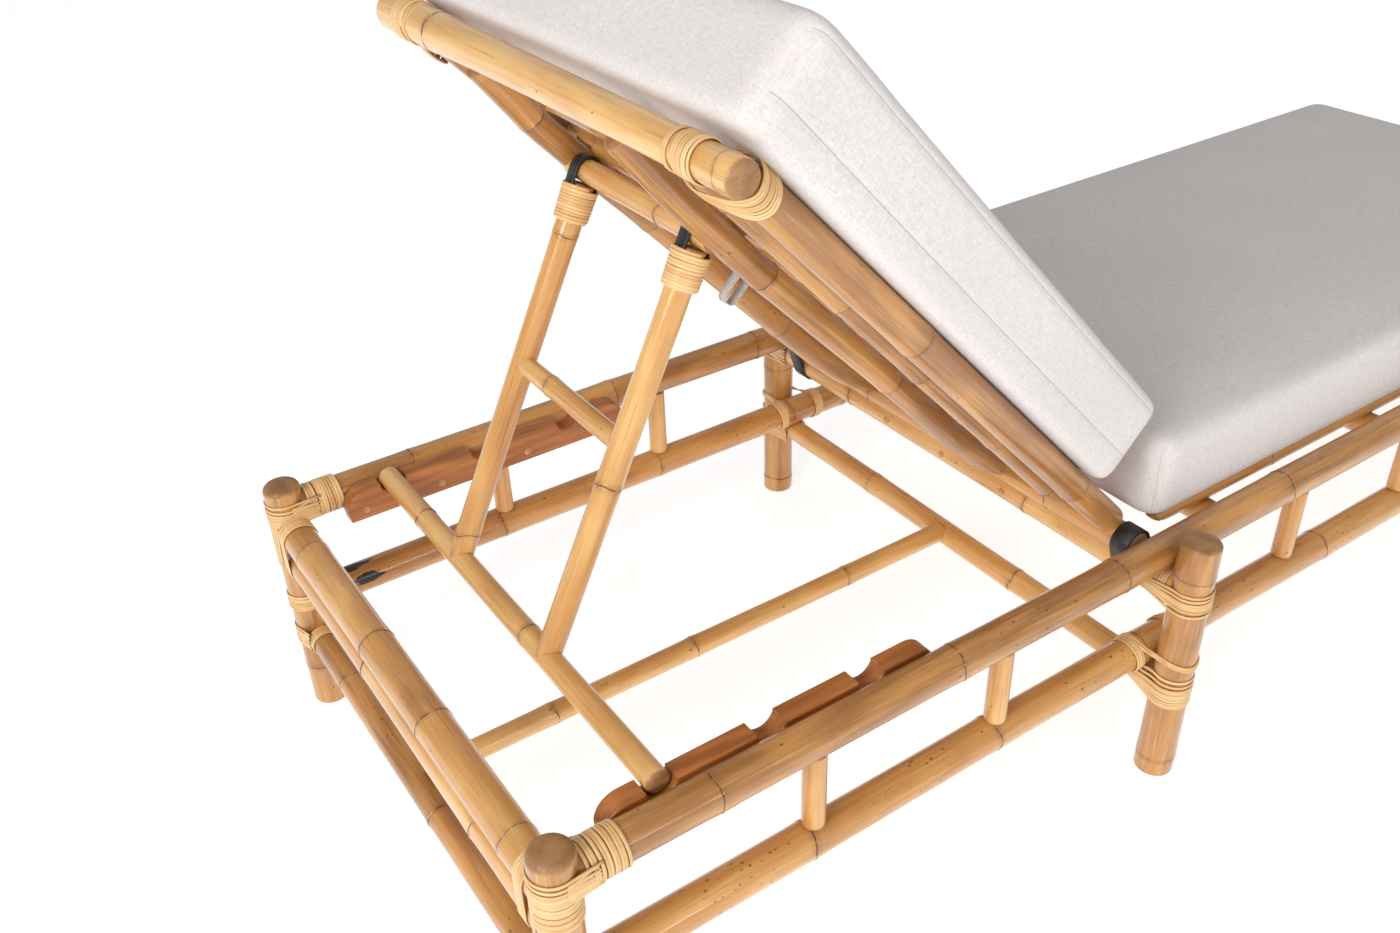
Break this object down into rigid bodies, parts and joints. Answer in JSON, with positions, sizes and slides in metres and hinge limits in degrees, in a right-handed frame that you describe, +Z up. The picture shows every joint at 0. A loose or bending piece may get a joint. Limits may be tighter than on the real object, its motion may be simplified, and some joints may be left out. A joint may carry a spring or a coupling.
{
  "type": "sun lounger",
  "caption": "Pole-framed rattan sun lounger with cane-lashed joints, a propped adjustable backrest, notched racks and two fabric cushions.",
  "frame": {"origin": "on the floor under the middle of the frame", "axes": "+X from the head to the foot, +Y to the left of someone lying on it, +Z up"},
  "size_m": [1.8572, 0.7456, 0.8771],
  "materials": {
    "rattan": "varnished rattan pole",
    "cane": "glossy peeled cane",
    "hardwood": "satin red-brown hardwood",
    "plug": "sanded wooden plug",
    "strap": "black leather strap",
    "cushion_fabric": "warm grey heathered weave",
    "tie_fabric": "pale fabric tape",
    "steel": "screw head"
  },
  "bodies": {
    "frame": {"centre_stretcher": "rattan", "foot_bindings_left": "cane", "foot_bindings_right": "cane", "foot_lower_rail": "rattan", "foot_post_left": "rattan", "foot_post_right": "rattan", "foot_top_rail": "rattan", "foot_under_rail": "rattan", "head_bindings_left": "cane", "head_bindings_right": "cane", "head_lower_rail": "rattan", "head_post_left": "rattan", "head_post_right": "rattan", "head_top_rail": "rattan", "head_under_rail": "rattan", "hinge_bar": "rattan", "hinge_strap_left": "strap", "hinge_strap_right": "strap", "lower_side_rail_left": "rattan", "lower_side_rail_right": "rattan", "mid_bindings_left": "cane", "mid_bindings_right": "cane", "mid_leg_left": "rattan", "mid_leg_right": "rattan", "mid_lower_stretcher": "rattan", "rack_left": "hardwood", "rack_right": "hardwood", "screw_plugs": "plug", "seat_bearers": "rattan", "seat_cushion": "cushion_fabric", "seat_edge_pole_left": "rattan", "seat_edge_pole_right": "rattan", "seat_poles": "rattan", "side_spindles": "rattan", "strap_screws": "steel", "upper_side_rail_left": "rattan", "upper_side_rail_right": "rattan"},
    "backrest": {"back_bindings": "cane", "back_bottom_bar": "rattan", "back_cross_slats": "rattan", "back_cushion": "cushion_fabric", "back_edge_pole_left": "rattan", "back_edge_pole_right": "rattan", "back_rung": "rattan", "back_slat_left": "rattan", "back_slat_right": "rattan", "back_stile_left": "rattan", "back_stile_right": "rattan", "back_top_bar": "rattan", "prop_pivot_bar": "rattan", "cushion_tie": "tie_fabric"},
    "prop": {"prop_leg_left": "rattan", "prop_leg_right": "rattan", "prop_brace": "rattan", "prop_crossbar": "rattan", "prop_straps": "strap", "prop_bindings": "cane"}
  },
  "joints": [
    {"name": "backrest_hinge", "type": "hinge", "parent": "frame", "child": "backrest", "pos_m": [-0.20387, 0, 0.2712], "axis": [0, 1, 0], "range_deg": [0, 25]},
    {"name": "prop_swing", "type": "hinge", "parent": "backrest", "child": "prop", "pos_m": [-0.60937, 0, 0.66088], "axis": [0, 1, 0], "range_deg": [-15.5, 0]}
  ],
  "couplings": [
    {"joint": "prop_swing", "follows": "backrest_hinge", "ratio": -0.6}
  ]
}
